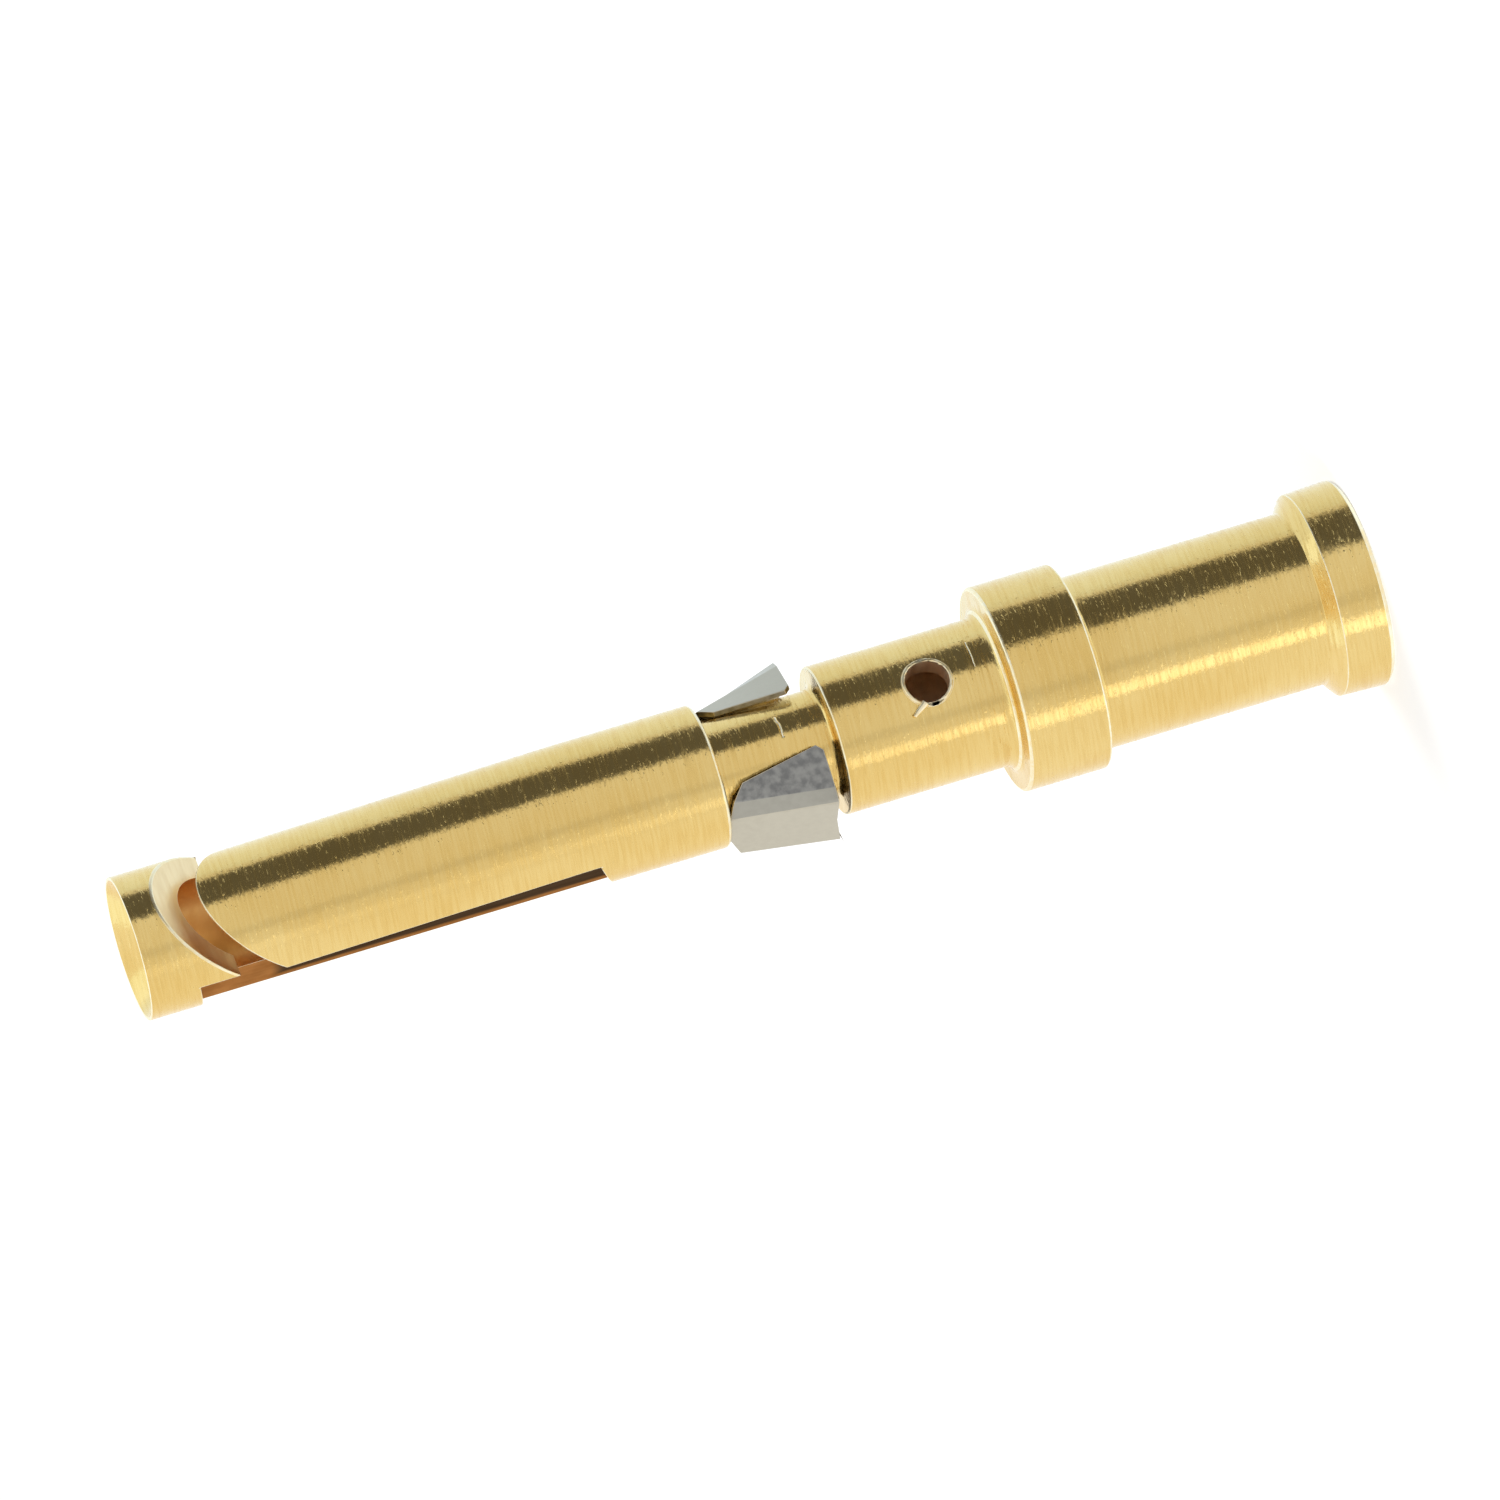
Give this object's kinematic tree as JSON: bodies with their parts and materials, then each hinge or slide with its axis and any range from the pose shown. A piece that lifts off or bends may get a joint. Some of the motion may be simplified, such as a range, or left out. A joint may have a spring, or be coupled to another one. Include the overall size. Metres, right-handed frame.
{
  "type": "crimp socket contact",
  "caption": "Turned, gold-plated crimp socket contact with a slotted spring socket, a bent sheet retention clip on its neck and a crimp barrel with an inspection hole.",
  "frame": {"origin": "centre of the wire-end face, which is also the lowest point of the part as it stands", "axes": "+Z along the contact's axis from the wire end to the socket mouth; -Y through the middle of the spring arm and of the clip's open side; +Y through the web opposite"},
  "size_m": [0.0036, 0.0036, 0.022],
  "materials": {
    "gold_plate": "gold plating over turned copper alloy, fine turning marks, satin to bright",
    "clip_steel": "thin rolled stainless spring strip, dull grey"
  },
  "bodies": {
    "root": {"contact_body": "gold_plate", "retention_clip": "clip_steel"}
  },
  "joints": []
}
